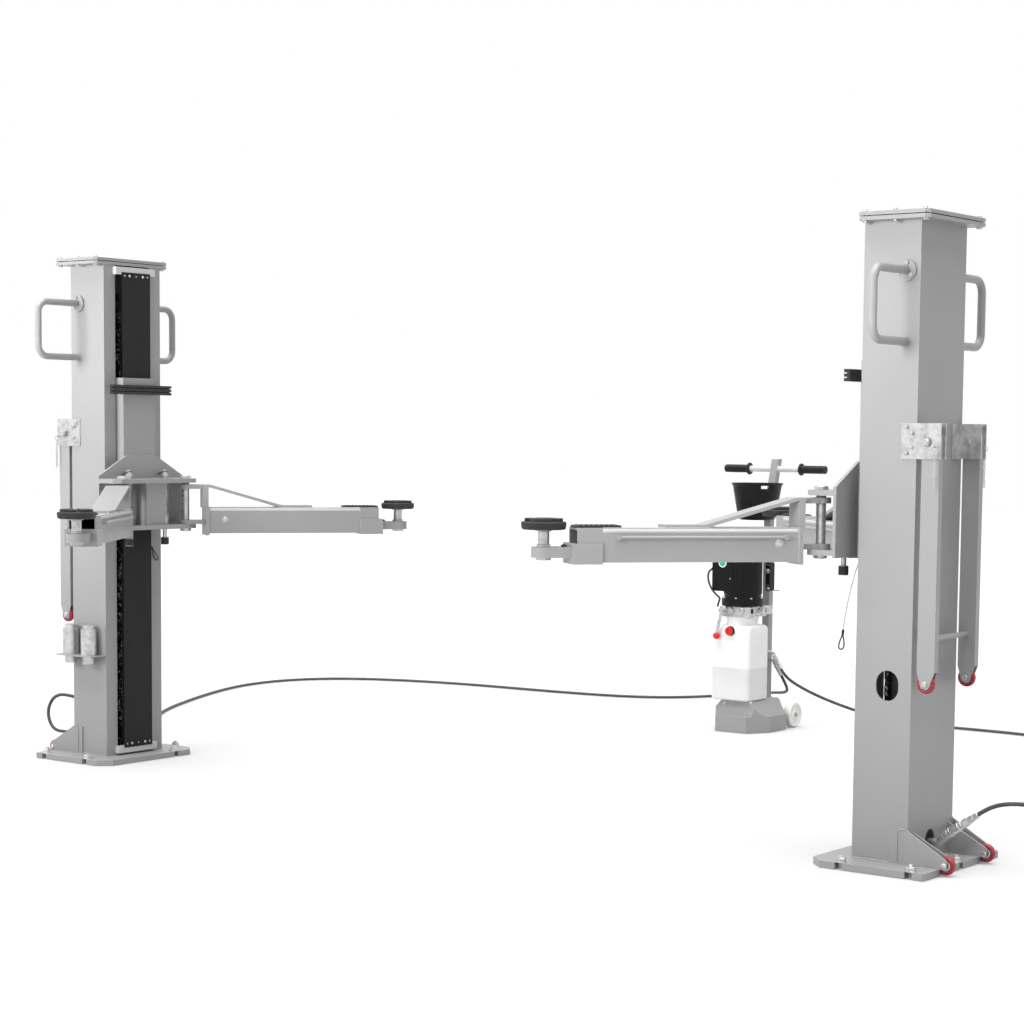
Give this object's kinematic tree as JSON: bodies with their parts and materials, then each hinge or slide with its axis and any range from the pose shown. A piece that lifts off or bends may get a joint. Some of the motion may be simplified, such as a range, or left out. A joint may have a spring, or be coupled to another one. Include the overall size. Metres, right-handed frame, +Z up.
{
  "type": "two post car lift",
  "caption": "Free-standing two post vehicle lift with short open columns, sliding carriages, swinging telescopic arms, transport legs and a hydraulic pump trolley joined by hoses.",
  "frame": {"origin": "on the floor under the centre of the left column", "axes": "+X towards the right column, +Y away from the camera side to the side where the pump trolley stands, +Z up"},
  "size_m": [5.4381, 4.3497, 1.9315],
  "materials": {
    "black_paint": "satin black",
    "black_plastic": "matt black",
    "black_rubber": "matt black",
    "black_strip": "matt black",
    "grey_paint": "satin light grey",
    "grey_plastic": "satin grey",
    "nylon": "satin white",
    "red_plastic": "glossy red",
    "red_wheels": "satin red",
    "tank_plastic": "milky white",
    "zinc": "zinc plated"
  },
  "bodies": {
    "posts": {"left_column": "grey_paint", "right_column": "grey_paint", "base_plates": "grey_paint", "base_gussets": "grey_paint", "top_plates": "grey_paint", "grab_handles": "grey_paint", "cover_strips": "black_strip", "strip_clamps": "grey_paint", "lift_cylinders": "grey_paint", "leg_brackets": "grey_paint", "adapter_rack": "grey_paint", "height_adapters": "zinc", "trolley_tray": "grey_paint", "trolley_mast": "grey_paint", "handlebar": "zinc", "handlebar_grips": "black_rubber", "tool_basket": "black_plastic", "oil_tank": "tank_plastic", "pump_block": "zinc", "pump_motor": "black_paint", "switch_box": "grey_plastic", "tank_controls": "red_plastic", "left_hose": "black_rubber", "right_hose": "black_rubber", "hose_fittings": "zinc"},
    "left_carriage": {"left_carriage": "grey_paint", "left_door_bumper": "black_rubber"},
    "left_near_lock_pin": {"left_near_lock_pin": "zinc"},
    "left_far_lock_pin": {"left_far_lock_pin": "zinc"},
    "left_near_arm": {"left_near_arm": "grey_paint"},
    "left_near_inner_arm": {"left_near_inner_arm": "zinc"},
    "left_near_pad": {"left_near_pad": "black_rubber"},
    "left_far_arm": {"left_far_arm": "grey_paint"},
    "left_far_inner_arm": {"left_far_inner_arm": "zinc"},
    "left_far_pad": {"left_far_pad": "black_rubber"},
    "left_transport_legs": {"left_transport_legs": "grey_paint"},
    "left_leg_wheels": {"left_leg_wheels": "red_wheels"},
    "left_base_wheels": {"left_base_wheels": "red_wheels"},
    "right_carriage": {"right_carriage": "grey_paint", "right_door_bumper": "black_rubber"},
    "right_near_lock_pin": {"right_near_lock_pin": "zinc"},
    "right_far_lock_pin": {"right_far_lock_pin": "zinc"},
    "right_near_arm": {"right_near_arm": "grey_paint"},
    "right_near_inner_arm": {"right_near_inner_arm": "zinc"},
    "right_near_pad": {"right_near_pad": "black_rubber"},
    "right_far_arm": {"right_far_arm": "grey_paint"},
    "right_far_inner_arm": {"right_far_inner_arm": "zinc"},
    "right_far_pad": {"right_far_pad": "black_rubber"},
    "right_transport_legs": {"right_transport_legs": "grey_paint"},
    "right_leg_wheels": {"right_leg_wheels": "red_wheels"},
    "right_base_wheels": {"right_base_wheels": "red_wheels"},
    "trolley_wheels": {"trolley_wheels": "nylon"}
  },
  "joints": [
    {"name": "left_carriage_slide", "type": "slide", "parent": "posts", "child": "left_carriage", "axis": [0, 0, 1], "range_m": [-0.78, 0.375]},
    {"name": "left_near_lock_pin_lift", "type": "slide", "parent": "left_carriage", "child": "left_near_lock_pin", "axis": [0, 0, 1], "range_m": [0, 0.034], "stiffness_N_per_m": 400, "springref_m": -0.02},
    {"name": "left_far_lock_pin_lift", "type": "slide", "parent": "left_carriage", "child": "left_far_lock_pin", "axis": [0, 0, 1], "range_m": [0, 0.034], "stiffness_N_per_m": 400, "springref_m": -0.02},
    {"name": "left_near_arm_swing", "type": "hinge", "parent": "left_carriage", "child": "left_near_arm", "pos_m": [0.209, -0.165, 0.99], "axis": [0, 0, -1], "range_deg": [-47, 36]},
    {"name": "left_near_inner_arm_slide", "type": "slide", "parent": "left_near_arm", "child": "left_near_inner_arm", "axis": [0.6018, -0.7986, 0], "range_m": [0, 0.42]},
    {"name": "left_near_pad_turn", "type": "hinge", "parent": "left_near_inner_arm", "child": "left_near_pad", "pos_m": [0.71994, -0.84304, 0.99], "axis": [0, 0, 1], "continuous": true},
    {"name": "left_far_arm_swing", "type": "hinge", "parent": "left_carriage", "child": "left_far_arm", "pos_m": [0.209, 0.165, 0.99], "axis": [0, 0, 1], "range_deg": [-48, 35]},
    {"name": "left_far_inner_arm_slide", "type": "slide", "parent": "left_far_arm", "child": "left_far_inner_arm", "axis": [0.5878, 0.809, 0], "range_m": [0, 0.42]},
    {"name": "left_far_pad_turn", "type": "hinge", "parent": "left_far_inner_arm", "child": "left_far_pad", "pos_m": [0.70803, 0.85186, 0.99], "axis": [0, 0, 1], "continuous": true},
    {"name": "left_transport_legs_swing", "type": "hinge", "parent": "posts", "child": "left_transport_legs", "pos_m": [-0.128, 0, 1.26], "axis": [0, 1, 0], "range_deg": [0, 100]},
    {"name": "left_leg_wheels_turn", "type": "hinge", "parent": "left_transport_legs", "child": "left_leg_wheels", "pos_m": [-0.135, 0, 0.556], "axis": [0, 1, 0], "continuous": true},
    {"name": "left_base_wheels_turn", "type": "hinge", "parent": "posts", "child": "left_base_wheels", "pos_m": [-0.214, 0, 0.03], "axis": [0, 1, 0], "continuous": true},
    {"name": "right_carriage_slide", "type": "slide", "parent": "posts", "child": "right_carriage", "axis": [0, 0, 1], "range_m": [-0.807, 0.348]},
    {"name": "right_near_lock_pin_lift", "type": "slide", "parent": "right_carriage", "child": "right_near_lock_pin", "axis": [0, 0, 1], "range_m": [0, 0.034], "stiffness_N_per_m": 400, "springref_m": -0.02},
    {"name": "right_far_lock_pin_lift", "type": "slide", "parent": "right_carriage", "child": "right_far_lock_pin", "axis": [0, 0, 1], "range_m": [0, 0.034], "stiffness_N_per_m": 400, "springref_m": -0.02},
    {"name": "right_near_arm_swing", "type": "hinge", "parent": "right_carriage", "child": "right_near_arm", "pos_m": [3.231, -0.165, 1.017], "axis": [0, 0, 1], "range_deg": [-44.5, 38.5]},
    {"name": "right_near_inner_arm_slide", "type": "slide", "parent": "right_near_arm", "child": "right_near_inner_arm", "axis": [-0.6361, -0.7716, 0], "range_m": [0, 0.42]},
    {"name": "right_near_pad_turn", "type": "hinge", "parent": "right_near_inner_arm", "child": "right_near_pad", "pos_m": [2.69097, -0.82011, 1.017], "axis": [0, 0, 1], "continuous": true},
    {"name": "right_far_arm_swing", "type": "hinge", "parent": "right_carriage", "child": "right_far_arm", "pos_m": [3.231, 0.165, 1.017], "axis": [0, 0, -1], "range_deg": [-33.5, 49.5]},
    {"name": "right_far_inner_arm_slide", "type": "slide", "parent": "right_far_arm", "child": "right_far_inner_arm", "axis": [-0.7716, 0.6361, 0], "range_m": [0, 0.42]},
    {"name": "right_far_pad_turn", "type": "hinge", "parent": "right_far_inner_arm", "child": "right_far_pad", "pos_m": [2.57589, 0.70503, 1.017], "axis": [0, 0, 1], "continuous": true},
    {"name": "right_transport_legs_swing", "type": "hinge", "parent": "posts", "child": "right_transport_legs", "pos_m": [3.568, 0, 1.26], "axis": [0, -1, 0], "range_deg": [0, 100]},
    {"name": "right_leg_wheels_turn", "type": "hinge", "parent": "right_transport_legs", "child": "right_leg_wheels", "pos_m": [3.575, 0, 0.556], "axis": [0, 1, 0], "continuous": true},
    {"name": "right_base_wheels_turn", "type": "hinge", "parent": "posts", "child": "right_base_wheels", "pos_m": [3.654, 0, 0.03], "axis": [0, 1, 0], "continuous": true},
    {"name": "trolley_wheels_turn", "type": "hinge", "parent": "posts", "child": "trolley_wheels", "pos_m": [1.455, 2.525, 0.0555], "axis": [1, 0, 0], "continuous": true}
  ]
}
